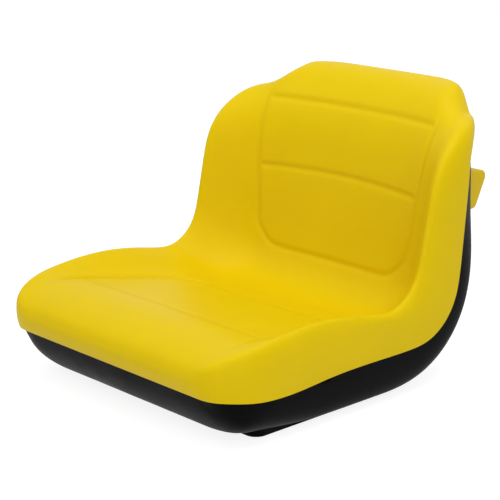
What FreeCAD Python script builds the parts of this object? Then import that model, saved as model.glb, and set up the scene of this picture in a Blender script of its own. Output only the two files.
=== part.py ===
import FreeCAD, Part

import math
import os

# Ride-on mower seat: a moulded vinyl and foam bucket cushion on a moulded pan with a lift handle behind.
# Millimetres. The sitter faces -Y, +X is at the sitter's left and +Z is up.
# The origin is the centre of the four mounting holes, on the plane of the mounting pads.

V = FreeCAD.Vector

# Cushion in plan and in front view
SEAT_WIDTH = 480.0          # across the widest part of the cushion
FRONT_Y = -210.0            # foremost line of the front roll
FRONT_ROLL = 77.0           # length of the front roll, front to back
FRONT_CORNER = 64.0         # how far the front corners round in from the sides
CREST_INSET = 12.0          # side of the cushion to the crest of a bolster
FLANK_FRONT = 40.0          # crest of a bolster to where it rises from the seat, at the front
FLANK_HIP = 78.0            # the same at the hip
FLANK_SHOULDER = 62.0       # the same at the shoulder line
SEAT_HOLLOW = 0.1           # share of a bolster's height that the flat of the seat rises to its sides
FRONT_HOLLOW = -0.2         # the same at the front of the seat, which is crowned
BACK_HOLLOW = 0.3           # the same for the flat of the back
SHOULDER_CORNER = 51.0      # how far the shoulders round in from the sides
SHOULDER_RISE = 82.0        # top line above the shoulder line, at the shoulders
SHOULDER_TOP_Y = 300.0      # top line of the shoulders
HEAD_RISE = 119.0           # top line above the shoulder line, at the headrest
HEAD_TOP_Y = 346.0          # top line of the headrest
HEAD_INSET = 100.0          # side of the cushion to the headrest's flat top
HEAD_SLOPE = 50.0           # width of the slope from headrest to shoulder
HEAD_FORWARD_INSET = 149.0  # side of the cushion to where the top line stays furthest back
HEAD_FORWARD_SLOPE = 112.0  # width over which the top line comes forward to the shoulders

# Cushion in side view: heights of the seat lines at the front and at the hip, places of the back lines at the
# lumbar, the back's recline in degrees and the radius between seat and back
HIP_Y = 90.0
LUMBAR_Z = 170.0
SHOULDER_Z = 287.0
CENTRE_FRONT_Z = 136.0
CENTRE_HIP_Z = 96.5
CENTRE_LUMBAR_Y = 228.0
CENTRE_RECLINE = 12.0
CENTRE_RADIUS = 65.0
CREST_FRONT_Z = 140.0
CREST_HIP_Z = 130.0
CREST_HUMP = 14.0           # how far the crest rises between front and hip
CREST_LUMBAR_Y = 156.5
CREST_RECLINE = 12.0
CREST_RADIUS = 66.0
SIDE_FRONT_Z = 98.0
SIDE_HIP_Z = 108.0
SIDE_LUMBAR_Y = 203.0
SIDE_RECLINE = 8.0
SIDE_RADIUS = 66.0
NOSE_Z = 97.0               # height of the foremost line
HEM_FRONT_Z = 72.5
HEM_HIP_Z = 70.0
HEM_LUMBAR_Y = 241.0
HEM_RECLINE = 5.5
HEM_RADIUS = 87.0
HEM_INSET = 3.0             # hem in from the widest line
HEM_SET_BACK = 9.0          # front hem behind the foremost line
HEM_DIP = 9.0               # how much lower the hem runs round the front corners
HEM_DIP_LENGTH = 90.0
HEM_DIP_END_Y = 9.0
TOP_SKIRT = 12.0            # top line to the hem behind it
TOP_SKIRT_DROP = 44.0
HEM_HEAD_HALF = 60.0        # half width over which the rear hem runs level

# Panel lines moulded into the cushion
LINE_WIDTH = 7.0
LINE_DEPTH = 3.0
SEAT_LINE_Y = -92.0         # line across the front of the seat
SEAT_LINE_HALF = 188.0
BACK_TOP_LINE_Z = 356.0     # line below the headrest
BACK_TOP_LINE_HALF = 166.0
BACK_MID_LINE_Z = 254.0     # line across the lumbar
BACK_MID_LINE_HALF = 160.0
BACK_MID_LINE_RISE = 4.0
# Half of the seat's long line as (x, y), and of the back's as (x, z), both from the middle outwards
# All widths here are for one distance of the bolster's crest and go with it
LINE_CREST_X = 228.0
SEAT_LONG_LINE = [(0.0, 81.0), (98.0, 83.0), (130.0, 81.0), (151.0, 66.0), (165.0, 30.0), (178.0, -20.0),
                  (191.0, -92.0), (194.0, -150.0)]
BACK_LONG_LINE = [(0.0, 134.0), (96.0, 134.0), (122.0, 138.0), (141.0, 152.0), (152.0, 172.0), (160.0, 240.0),
                  (167.0, 322.0), (172.0, 376.0)]

# Pan
WALL = 3.5
RIM_INSET = 5.0             # rim in from the hem
RIM_GAP = 0.4               # hem above the rim
FOAM_GAP = 0.4              # foam clear of the pan's inside
BASE_Z = 6.0                # underside of the base above the mounting pads
BASE_INSET = 25.0           # side of the rim to the side of the base
BASE_FRONT_CORNER = 52.0    # how much the base narrows to its front, on each side
BASE_FRONT_Y = -126.0
PAN_BACK_INSET = 58.0       # side of the rim to the flat of the pan's back
PAN_BEHIND = 61.0           # hem to the pan's back at the lumbar
PAN_RECLINE = 3.6
PAN_RADIUS = 155.0
PAN_SHOULDER_Z = 284.0      # where the pan's back begins to lean towards the headrest
RIB_X = (-112.0, -38.0, 38.0, 112.0)
RIB_BOTTOM_Z = 70.0
RIB_TOP_Z = 215.0
RIB_WIDTH = 12.0
RIB_HEIGHT = 3.0

# Mounting: pads, threaded inserts, switch opening and drain holes
PAD_INSIDE = 13.875         # bolt to the pad's inner edge
PAD_OUTSIDE = 6.0           # pad's outer edge to the side of the base
PAD_FRONT = 16.4            # bolt to the pad's front edge
PAD_REAR = 18.4             # bolt to the pad's rear edge
PAD_CORNER = 16.0
PAD_FRONT_CORNER = 18.0
PAD_EDGE = 2.5
PAD_ROOT = 1.5              # pad's top below the base's inside
PAD_REACH = 14.0            # how far a pad may follow the base's rounded edge upwards
BOLT_SPACING_X = 285.75
BOLT_SPACING_Y = 203.2
BOLT_RADIUS = 4.0
INSERT_RADIUS = 6.5
INSERT_LENGTH = 16.0
INSERT_FLANGE_RADIUS = 9.0
INSERT_FLANGE = 1.5
INSERT_GAP = 0.1
BOSS_WALL = 5.5
BOSS_ROOF = 3.0
SWITCH_RADIUS = 14.5
SWITCH_Y = 20.0
SWITCH_ROOM = 24.0          # free height in the foam above the switch opening
SWITCH_MARGIN = 2.0         # foam clear of the switch opening
DRAIN_RADIUS = 5.0
DRAIN_X = 70.0
DRAIN_Y = 100.0

# Lift handle and its screws
HANDLE_INSET = 48.0         # side of the cushion to the handle's end
HANDLE_BELOW = 57.0         # shoulder line to the handle's lower edge
HANDLE_HEIGHT = 64.0
HANDLE_REACH = 48.0         # pan's back at the lumbar to the handle's rear
HANDLE_FALL = 11.0          # fall of the handle's top towards its rear
HANDLE_FOOT = 22.0          # pan's back at the lumbar to the rear of the handle's lower edge
HANDLE_WALL = 3.5
HANDLE_ROUND = 10.0
HANDLE_END_ROUND = 3.0
HANDLE_GAP = 0.1            # handle behind the pan
HANDLE_ROOT = 45.0          # how far the handle's outline starts before the pan's back, to be trimmed there
GRIP_MARGIN = 25.0          # finger opening in the handle's underside to the screws beside it
GRIP_HEIGHT = 22.0          # finger opening above the handle's lower edge
GRIP_ROUND = 12.0
SCREW_INSET = 42.0          # handle's end to its screws
SCREW_LOW = 14.0            # handle's lower edge to the lower screw
SCREW_HIGH = 40.0           # handle's lower edge to the upper screw
SCREW_RADIUS = 2.5
SCREW_LENGTH = 18.0
SCREW_HEAD_RADIUS = 5.5
SCREW_HEAD = 3.5
SCREW_SOCKET_RADIUS = 2.2
SCREW_SOCKET = 2.0
SCREW_GAP = 0.2
SCREW_BOSS_RADIUS = 6.5

# Poles: rows along the seat line, the arc and the back line, and those of the base's front corners
SEAT_STEPS = 5
ARC_STEPS = 4
BACK_STEPS = 3
BASE_CORNER_STEPS = 2
BAND_STEPS = 8              # points along a band's edges for each point of its line
# Share of a roll's run and drop at each of its poles, from its crest to its widest line
ROLL = [(0.4, 0.04), (0.8, 0.2), (1.0, 0.55), (1.0, 1.0)]
# The same for the cushion's front and for the pan's front
FRONT_SHARES = [(0.4, 0.13), (0.76, 0.34), (0.96, 0.6), (1.0, 1.0)]
PAN_FRONT_SHARES = [(0.4, 0.05), (0.74, 0.39), (0.93, 0.7), (1.0, 1.0)]
# Share of the run to the top line at each of its poles, and of the lean back there
HEAD_ROLL = [(0.4, 0.12), (0.8, 0.42), (1.0, 0.74), (1.0, 1.0)]
# Share of the way across the flat, and of its hollow there
FLAT = [(0.0, 0.0), (0.4, 0.1), (0.76, 0.45), (1.0, 1.0)]
# Share of the way from the flat to the crest, and of the height left there
FLANK = [(0.36, 0.22), (0.7, 0.64), (1.0, 1.0)]
# The same for the pan's sides at its shoulder, where they slant
SLANT = [(0.3, 0.08), (0.58, 0.3), (0.82, 0.62), (1.0, 1.0)]
# Share of the rise and of the lean at each pole of the pan's back from its shoulder to the rim
PAN_TOP = [(0.3, 0.1), (0.6, 0.34), (0.85, 0.66), (1.0, 1.0)]
# Shares of a skin's length, front to top: the seat's and the back's lines, the pan's back and its base
SEAT_STRETCH = (0.05, 0.58)
BACK_STRETCH = (0.5, 0.93)
PAN_BACK_STRETCH = (0.46, 0.95)
PAN_BASE_STRETCH = (0.1, 0.5)

half = SEAT_WIDTH / 2.0
crest_x = half - CREST_INSET
rim_half = half - HEM_INSET - RIM_INSET
base_side = rim_half - BASE_INSET
start_y = FRONT_Y + FRONT_ROLL
pan_lumbar_y = HEM_LUMBAR_Y + PAN_BEHIND
handle_half = half - HANDLE_INSET
screw_x = handle_half - SCREW_INSET
handle_bottom = SHOULDER_Z - HANDLE_BELOW
pan_lean = math.radians(PAN_RECLINE)
far = 2.0 * SEAT_WIDTH      # longer than anything that is cut


def smooth(t):
    """Smooth step from 0 to 1."""
    t = min(1.0, max(0.0, t))
    return t * t * (3.0 - 2.0 * t)


def mix(a, b, t):
    """The point at a share of the way from a to b."""
    return tuple(p + (q - p) * t for p, q in zip(a, b))


def side_line(front_z, hip_z, lumbar_y, recline, radius, front_y=start_y, end_z=SHOULDER_Z, hump=0.0):
    """Side-view (y, z) poles: a seat line, a tangent arc and a back line, one pole for each row."""
    slope = (hip_z - front_z) / (HIP_Y - front_y)
    lean = math.tan(math.radians(recline))
    corner_z = (front_z + slope * (lumbar_y - front_y - lean * LUMBAR_Z)) / (1.0 - slope * lean)
    corner_y = lumbar_y + lean * (corner_z - LUMBAR_Z)
    seat_angle = math.atan(slope)
    turn = math.radians(90.0 - recline) - seat_angle
    reach = radius * math.tan(turn / 2.0)
    arc_y = corner_y - reach * math.cos(seat_angle)
    arc_z = corner_z - reach * math.sin(seat_angle)
    centre_y = arc_y - radius * math.sin(seat_angle)
    centre_z = arc_z + radius * math.cos(seat_angle)
    poles = []
    for i in range(SEAT_STEPS + 1):
        t = i / SEAT_STEPS
        y = front_y + (arc_y - front_y) * t
        poles.append((y, front_z + slope * (y - front_y) + hump * math.sin(math.pi * t)))
    for i in range(1, ARC_STEPS + 1):
        angle = seat_angle + turn * i / ARC_STEPS
        poles.append((centre_y + radius * math.sin(angle), centre_z - radius * math.cos(angle)))
    bend_y, bend_z = poles[-1]
    for i in range(1, BACK_STEPS + 1):
        z = bend_z + (end_z - bend_z) * i / BACK_STEPS
        poles.append((bend_y + lean * (z - bend_z), z))
    return poles


centre_line = side_line(CENTRE_FRONT_Z, CENTRE_HIP_Z, CENTRE_LUMBAR_Y, CENTRE_RECLINE, CENTRE_RADIUS)
crest_line = side_line(
    CREST_FRONT_Z, CREST_HIP_Z, CREST_LUMBAR_Y, CREST_RECLINE, CREST_RADIUS, hump=CREST_HUMP
)
edge_line = side_line(SIDE_FRONT_Z, SIDE_HIP_Z, SIDE_LUMBAR_Y, SIDE_RECLINE, SIDE_RADIUS)
hem_line = side_line(HEM_FRONT_Z, HEM_HIP_Z, HEM_LUMBAR_Y, HEM_RECLINE, HEM_RADIUS)
base_line = side_line(BASE_Z, BASE_Z, pan_lumbar_y, PAN_RECLINE, PAN_RADIUS, BASE_FRONT_Y, PAN_SHOULDER_Z)


def flank_x(k):
    """Where a bolster rises from the flat at a row, counted from the front of the seat."""
    if k <= SEAT_STEPS:
        return crest_x - FLANK_FRONT - (FLANK_HIP - FLANK_FRONT) * smooth(k / SEAT_STEPS)
    rise = smooth((k - SEAT_STEPS) / (ARC_STEPS + BACK_STEPS))
    return crest_x - FLANK_HIP - (FLANK_SHOULDER - FLANK_HIP) * rise


def cushion_section(k):
    """Poles of half a cross-section of the upper skin, from the middle to the widest line."""
    centre, crest, edge = centre_line[k], crest_line[k], edge_line[k]
    flat = flank_x(k)
    seat = FRONT_HOLLOW + (SEAT_HOLLOW - FRONT_HOLLOW) * smooth(k / (SEAT_STEPS - 1))
    hollow = seat + (BACK_HOLLOW - seat) * smooth((k - SEAT_STEPS - ARC_STEPS) / BACK_STEPS)
    poles = [(flat * u, *mix(centre, crest, f * hollow)) for u, f in FLAT]
    for u, f in FLANK:
        poles.append((flat + (crest_x - flat) * u, *mix(centre, crest, hollow + (1.0 - hollow) * f)))
    poles += [(crest_x + CREST_INSET * run, *mix(crest, edge, drop)) for run, drop in ROLL]
    return poles


def top_rise(x):
    """Height of the top line above the shoulder line."""
    return HEAD_RISE + (SHOULDER_RISE - HEAD_RISE) * smooth((abs(x) - half + HEAD_INSET) / HEAD_SLOPE)


def top_y(x):
    """Place of the top line, furthest back behind the head."""
    forward = smooth((abs(x) - half + HEAD_FORWARD_INSET) / HEAD_FORWARD_SLOPE)
    return HEAD_TOP_Y + (SHOULDER_TOP_Y - HEAD_TOP_Y) * forward


def cushion_rows():
    """Poles of the cushion's upper skin, row by row from the front roll to the top line."""
    sections = [cushion_section(k) for k in range(len(centre_line))]
    rows = []
    for run, drop in reversed(FRONT_SHARES):
        narrow = 1.0 - FRONT_CORNER / half * drop
        row = []
        for x, y, z in sections[0]:
            row.append((x * narrow, y - FRONT_ROLL * run, z + (NOSE_Z - z) * drop))
        rows.append(row)
    rows += sections
    for (run, drop), (rise, lean) in zip(ROLL, HEAD_ROLL):
        narrow = 1.0 - SHOULDER_CORNER / half * drop
        row = []
        for x, y, z in sections[-1]:
            inner_x = x * narrow
            row.append((inner_x, y + (top_y(inner_x) - y) * lean, z + top_rise(inner_x) * rise))
        rows.append(row)
    return rows


def edge_of(rows):
    """The (front, rear, side) half edges of a grid of poles."""
    return rows[0], rows[-1], [row[-1] for row in rows]


def hem_dip(y):
    """How much lower the side hem runs at a place along the seat."""
    return HEM_DIP * smooth((y - FRONT_Y) / HEM_DIP_LENGTH) * smooth((HEM_DIP_END_Y - y) / HEM_DIP_LENGTH)


def hem_ring(edge):
    """Poles of the hem below the upper skin's edges."""
    front = [(x, y + HEM_SET_BACK, HEM_FRONT_Z) for x, y, z in edge[0]]
    head_z, (corner_x, corner_y, corner_z) = edge[1][0][2], edge[1][-1]
    rear = []
    for x, y, z in edge[1]:
        fall = smooth((x - HEM_HEAD_HALF) / (corner_x - HEM_HEAD_HALF))
        rear.append((x, y + TOP_SKIRT, head_z + (corner_z - head_z) * fall - TOP_SKIRT_DROP))
    side = []
    for (run, drop), (x, y, z) in zip(reversed(ROLL), edge[2]):
        side.append((x - HEM_INSET * (1.0 - drop), y + HEM_SET_BACK * drop, HEM_FRONT_Z - hem_dip(y)))
    side += [(half - HEM_INSET, y, z - hem_dip(y)) for y, z in hem_line]
    hem_y, hem_z = hem_line[-1]
    end_x, end_y, end_z = rear[-1]
    for (run, drop), (x, y, z) in zip(ROLL, edge[2][-len(ROLL):]):
        side_x = x - HEM_INSET * (1.0 - drop)
        side.append((side_x, hem_y + (end_y - hem_y) * drop, hem_z + (end_z - hem_z) * run))
    return front, rear, side


def outward_ring():
    """Outward directions at the poles of a ring."""
    count = len(FLAT) + len(FLANK) + len(ROLL)
    turns = [math.pi / 4.0 * (run + drop) for run, drop in ROLL]
    side = [(math.cos(a), -math.sin(a), 0.0) for a in reversed(turns)]
    side += [(1.0, 0.0, 0.0)] * len(hem_line)
    side += [(math.cos(a), math.sin(a), 0.0) for a in turns]
    return [(0.0, -1.0, 0.0)] * count, [(0.0, 1.0, 0.0)] * count, side


def unit(a):
    """A direction of length 1."""
    size = math.hypot(*a)
    return tuple(c / size for c in a)


def moved_ring(ring, directions, distance):
    """A ring moved along its own directions."""
    result = []
    for poles, ways in zip(ring, directions):
        result.append([tuple(c + w * distance for c, w in zip(p, way)) for p, way in zip(poles, ways)])
    return tuple(result)


def skirt_ring(edge, hem):
    """Directions down the skirt, from the widest line to the hem."""
    return tuple([unit([h - e for e, h in zip(p, q)]) for p, q in zip(a, b)] for a, b in zip(edge, hem))


def bulge_ring(rows, edge, hem):
    """Poles half way down the skirt, which leave the upper skin without a crease."""
    down = (0.0, 0.0, -1.0)
    back = (0.0, 1.0, 0.0)
    count = len(rows[0])
    side = [down] * len(ROLL)
    side += [unit([p - q for p, q in zip(row[-1], row[-2])]) for row in rows[len(ROLL):-len(ROLL)]]
    side += [back] * len(ROLL)
    ring = []
    for start, end, ways in zip(edge, hem, ([down] * count, [back] * count, side)):
        poles = []
        for p, q, way in zip(start, end, ways):
            poles.append(tuple(c + w * math.dist(p, q) / 2.0 for c, w in zip(p, way)))
        ring.append(poles)
    return tuple(ring)


def base_half(k):
    """Half width of the pan's flat at a row, counted from the front of the base."""
    if k <= SEAT_STEPS:
        turn = min(1.0, k / BASE_CORNER_STEPS) * math.pi / 2.0
        return base_side - BASE_FRONT_CORNER * (1.0 - math.sin(turn))
    return base_side - (PAN_BACK_INSET - BASE_INSET) * min(1.0, (k - SEAT_STEPS) / ARC_STEPS)


def blend(poles, goals, ways):
    """Poles moved towards their goals by a share along each axis."""
    return [tuple(c + (g - c) * w for c, g, w in zip(p, q, ways)) for p, q in zip(poles, goals)]


def pan_rows(rim):
    """Poles of the pan's outer skin inside its rim."""
    rim_front, rim_rear, rim_side = rim
    sections = []
    for k, (base, end) in enumerate(zip(base_line, rim_side[len(ROLL):])):
        width = base_half(k)
        flat = width * flank_x(k) / crest_x
        row = [(flat * u, *base) for u, f in FLAT]
        row += [(flat + (width - flat) * u, *base) for u, f in FLANK]
        slant = smooth((k - SEAT_STEPS - ARC_STEPS) / BACK_STEPS)
        for run, drop in [mix(a, b, slant) for a, b in zip(ROLL, SLANT)]:
            row.append((width + (end[0] - width) * run, *mix(base, end[1:], drop)))
        sections.append(row)
    rows = []
    for run, drop in reversed(PAN_FRONT_SHARES):
        rows.append(blend(sections[0], rim_front, (drop, run, drop)))
    rows += sections
    for rise, lean in PAN_TOP:
        rows.append(blend(sections[-1], rim_rear, (lean, lean, rise)))
    for row, end in zip(rows, rim_side):
        row[-1] = end
    return rows


def inset_rows(rows, ring, distance):
    """The grid inside a given edge, with its other poles moved along their normals."""
    grid = [[V(*p) for p in row] for row in rows]
    result = [ring[0]]
    for i in range(1, len(grid) - 1):
        row = grid[i]
        new = []
        for j in range(len(row) - 1):
            before = row[j - 1] if j else V(-row[1].x, row[1].y, row[1].z)
            normal = (row[j + 1] - before).cross(grid[i + 1][j] - grid[i - 1][j])
            pole = row[j] + normal.normalize() * distance
            new.append((pole.x if j else 0.0, pole.y, pole.z))
        result.append(new + [ring[2][i]])
    return result + [ring[1]]


def mirrored(row):
    """A full-width row from a half row that starts in the middle."""
    return [V(-x, y, z) for x, y, z in reversed(row[1:])] + [V(x, y, z) for x, y, z in row]


def clamped(count, degree):
    """Multiplicities and knots of a curve that ends on its end poles."""
    spans = count - degree
    return [degree + 1] + [1] * (spans - 1) + [degree + 1], [i / spans for i in range(spans + 1)]


def surface(poles, u_degree=3, v_degree=3):
    """A spline surface over a grid of poles."""
    u_mults, u_knots = clamped(len(poles), u_degree)
    v_mults, v_knots = clamped(len(poles[0]), v_degree)
    result = Part.BSplineSurface()
    result.buildFromPolesMultsKnots(
        poles, u_mults, v_mults, u_knots, v_knots, False, False, u_degree, v_degree
    )
    return result


def skin(rows, stretch=(0.0, 1.0)):
    """The full-width face over half rows, or the stretch of it between two shares of its length."""
    result = surface([mirrored(row) for row in rows])
    result.segment(*stretch, 0.0, 1.0)
    return result.toShape()


def bands(*rings):
    """Faces across two or more rings: front, rear and the two sides."""
    fronts, rears, sides = zip(*rings)
    grids = [[mirrored(row) for row in rows] for rows in (fronts, rears)]
    for sign in (1, -1):
        grids.append([[V(sign * x, y, z) for x, y, z in row] for row in sides])
    return [surface(grid, len(rings) - 1, 3).toShape() for grid in grids]


def closed(faces):
    """A solid from faces that share their edges."""
    shell = Part.makeShell(faces)
    shell.sewShape()
    solid = Part.makeSolid(Part.makeShell(shell.Faces))
    if solid.Volume < 0.0:
        solid.reverse()
    return solid


def rod(radius, start, end):
    """A round bar between two points."""
    axis = V(*end) - V(*start)
    return Part.makeCylinder(radius, axis.Length, V(*start), axis)


def rounded(points, radii):
    """A closed wire through corners, each rounded by its radius."""
    corners = [V(*p) for p in points]
    arcs = []
    for i, corner in enumerate(corners):
        before = (corners[i - 1] - corner).normalize()
        after = (corners[(i + 1) % len(corners)] - corner).normalize()
        half_angle = before.getAngle(after) / 2.0
        reach = radii[i] / math.tan(half_angle)
        middle = (before + after).normalize() * (radii[i] / math.sin(half_angle) - radii[i])
        arcs.append((corner + before * reach, corner + middle, corner + after * reach))
    edges = []
    for i, (start, middle, end) in enumerate(arcs):
        edges.append(Part.Arc(start, middle, end).toShape())
        edges.append(Part.LineSegment(end, arcs[(i + 1) % len(arcs)][0]).toShape())
    return Part.Wire(edges)


def seat_plane(a, b):
    """A point of the plan."""
    return V(a, b, 0.0)


def back_plane(a, b):
    """A point of the front view."""
    return V(a, 0.0, b)


def drawn(line):
    """A panel line spread to the seat's own width."""
    return [(a * crest_x / LINE_CREST_X, b) for a, b in line]


def band_face(line, width, plane):
    """A flat band with round ends along a smooth line in a plane."""
    curve = Part.BSplineCurve()
    curve.interpolate([V(a, b, 0.0) for a, b in line])
    first, last = curve.FirstParameter, curve.LastParameter
    steps = BAND_STEPS * len(line)
    sides = ([], [])
    for i in range(steps + 1):
        u = first + (last - first) * i / steps
        point, along = curve.value(u), curve.tangent(u)[0]
        for side, offset in zip(sides, (width / 2.0, -width / 2.0)):
            side.append(plane(point.x - along.y * offset, point.y + along.x * offset))
    tips = []
    for u, sign in ((last, 1.0), (first, -1.0)):
        tip = curve.value(u) + curve.tangent(u)[0] * (sign * width / 2.0)
        tips.append(plane(tip.x, tip.y))
    edges = []
    for points in (sides[0], sides[1][::-1]):
        spline = Part.BSplineCurve()
        spline.interpolate(points)
        edges.append(spline.toShape())
    edges.insert(1, Part.Arc(sides[0][-1], tips[0], sides[1][-1]).toShape())
    edges.append(Part.Arc(sides[1][0], tips[1], sides[0][0]).toShape())
    return Part.Face(Part.Wire(edges))


def both_sides(half_line):
    """A line across the middle from its half, which starts in the middle."""
    return [(-a, b) for a, b in reversed(half_line[1:])] + half_line


def cross_line(reach, level, rise=0.0):
    """A line straight across, or bowed by a rise in the middle."""
    return [(-reach, level), (0.0, level + rise), (reach, level)]


def panel_lines(rows):
    """What is cut from the cushion for its panel lines."""
    up = V(0.0, 0.0, far)
    back = V(0.0, far, 0.0)
    seat_floor = skin(rows, SEAT_STRETCH).translated(V(0.0, 0.0, -LINE_DEPTH))
    back_floor = skin(rows, BACK_STRETCH).translated(V(0.0, LINE_DEPTH, 0.0))
    above_seat = seat_floor.extrude(V(0.0, 0.0, CREST_HIP_Z))
    before_back = back_floor.extrude(V(0.0, -CREST_LUMBAR_Y, 0.0))
    cuts = []
    for line in (both_sides(SEAT_LONG_LINE), cross_line(SEAT_LINE_HALF, SEAT_LINE_Y)):
        cuts.append(band_face(drawn(line), LINE_WIDTH, seat_plane).extrude(up).common(above_seat))
    for line in (
        both_sides(BACK_LONG_LINE),
        cross_line(BACK_TOP_LINE_HALF, BACK_TOP_LINE_Z),
        cross_line(BACK_MID_LINE_HALF, BACK_MID_LINE_Z, BACK_MID_LINE_RISE),
    ):
        cuts.append(band_face(drawn(line), LINE_WIDTH, back_plane).extrude(back).common(before_back))
    return cuts


def back_point(x, z, depth=0.0):
    """A point on the flat of the pan's back, or a depth behind it along its normal."""
    y = pan_lumbar_y + math.tan(pan_lean) * (z - LUMBAR_Z)
    return x, y + depth * math.cos(pan_lean), z - depth * math.sin(pan_lean)


def mounting_pad(sign, inside):
    """A flat pad below the base, with a softened lower edge, kept out of the pan's inside."""
    inner_x, outer_x = sign * (BOLT_SPACING_X / 2.0 - PAD_INSIDE), sign * (base_side - PAD_OUTSIDE)
    front_y, rear_y = -BOLT_SPACING_Y / 2.0 - PAD_FRONT, BOLT_SPACING_Y / 2.0 + PAD_REAR
    points = [(inner_x, front_y, 0.0), (outer_x, front_y, 0.0)]
    points += [(outer_x, rear_y, 0.0), (inner_x, rear_y, 0.0)]
    wire = rounded(points, [PAD_CORNER, PAD_FRONT_CORNER, PAD_CORNER, PAD_CORNER])
    pad = Part.Face(wire).extrude(V(0.0, 0.0, BASE_Z + PAD_REACH))
    pad = pad.makeFillet(PAD_EDGE, [e for e in pad.Edges if e.BoundBox.ZMax < PAD_EDGE / 2.0])
    return pad.cut(inside)


bolt_places = [
    (sx * BOLT_SPACING_X / 2.0, sy * BOLT_SPACING_Y / 2.0) for sx in (-1, 1) for sy in (-1, 1)
]
drain_places = [(-DRAIN_X, DRAIN_Y), (DRAIN_X, DRAIN_Y)]
screw_places = [
    (sx * screw_x, handle_bottom + up) for sx in (-1, 1) for up in (SCREW_LOW, SCREW_HIGH)
]
boss_top = INSERT_LENGTH + BOSS_ROOF
boss_radius = INSERT_RADIUS + BOSS_WALL


def make_cushion(top_rows, foam_rows, edge, hem, ledge):
    """The cushion: upper skin, skirt, hem and foam, with its panel lines and room for the hardware."""
    skirt_bands = bands(edge, bulge_ring(top_rows, edge, hem), hem)
    cushion = closed([skin(top_rows), *skirt_bands, *bands(hem, ledge), skin(foam_rows)])
    rooms = [rod(boss_radius + FOAM_GAP, (x, y, 0.0), (x, y, boss_top + FOAM_GAP)) for x, y in bolt_places]
    switch_top = BASE_Z + WALL + SWITCH_ROOM
    rooms.append(rod(SWITCH_RADIUS + SWITCH_MARGIN, (0.0, SWITCH_Y, 0.0), (0.0, SWITCH_Y, switch_top)))
    for x, z in screw_places:
        start, end = back_point(x, z), back_point(x, z, -WALL - SCREW_HEAD - FOAM_GAP)
        rooms.append(rod(SCREW_HEAD_RADIUS + FOAM_GAP, start, end))
    for cut in panel_lines(top_rows) + rooms:
        cushion = cushion.cut(cut)
    return cushion


def make_pan(outer_rows, inner_rows, rim, inner_rim):
    """The pan: one moulded shell with pads, bosses, ribs and holes."""
    pan = closed([skin(outer_rows), *bands(rim, inner_rim), skin(inner_rows)])
    inside = skin(inner_rows, PAN_BASE_STRETCH).translated(V(0.0, 0.0, -PAD_ROOT)).extrude(V(0.0, 0.0, far))
    added = [mounting_pad(1, inside), mounting_pad(-1, inside)]
    added += [rod(boss_radius, (x, y, BASE_Z), (x, y, boss_top)) for x, y in bolt_places]
    outside = skin(outer_rows, PAN_BACK_STRETCH).translated(V(0.0, RIB_HEIGHT, 0.0))
    rib_layer = outside.extrude(V(0.0, -RIB_HEIGHT - WALL / 2.0, 0.0))
    for x in RIB_X:
        line = [(x, RIB_BOTTOM_Z), (x, (RIB_BOTTOM_Z + RIB_TOP_Z) / 2.0), (x, RIB_TOP_Z)]
        added.append(band_face(line, RIB_WIDTH, back_plane).extrude(V(0.0, far, 0.0)).common(rib_layer))
    for shape in added:
        pan = pan.fuse(shape)
    holes = []
    for x, y in bolt_places:
        for radius, depth in ((INSERT_RADIUS, INSERT_LENGTH), (INSERT_FLANGE_RADIUS, INSERT_FLANGE)):
            holes.append(rod(radius + INSERT_GAP, (x, y, -BASE_Z), (x, y, depth + INSERT_GAP)))
    holes.append(rod(SWITCH_RADIUS, (0.0, SWITCH_Y, 0.0), (0.0, SWITCH_Y, BASE_Z + 2.0 * WALL)))
    holes += [rod(DRAIN_RADIUS, (x, y, 0.0), (x, y, BASE_Z + 2.0 * WALL)) for x, y in drain_places]
    for x, z in screw_places:
        holes.append(rod(SCREW_RADIUS + SCREW_GAP, back_point(x, z, WALL), back_point(x, z, -2.0 * WALL)))
    for hole in holes:
        pan = pan.cut(hole)
    return pan


def handle_profile():
    """Side view of the handle as a closed wire in the middle plane."""
    front_y = pan_lumbar_y - HANDLE_ROOT
    top_z = handle_bottom + HANDLE_HEIGHT
    points = [
        (0.0, front_y, top_z),
        (0.0, pan_lumbar_y + HANDLE_REACH, top_z - HANDLE_FALL),
        (0.0, pan_lumbar_y + HANDLE_FOOT, handle_bottom),
        (0.0, front_y, handle_bottom),
    ]
    return rounded(points, [HANDLE_WALL, HANDLE_ROUND, HANDLE_ROUND, HANDLE_WALL])


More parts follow.
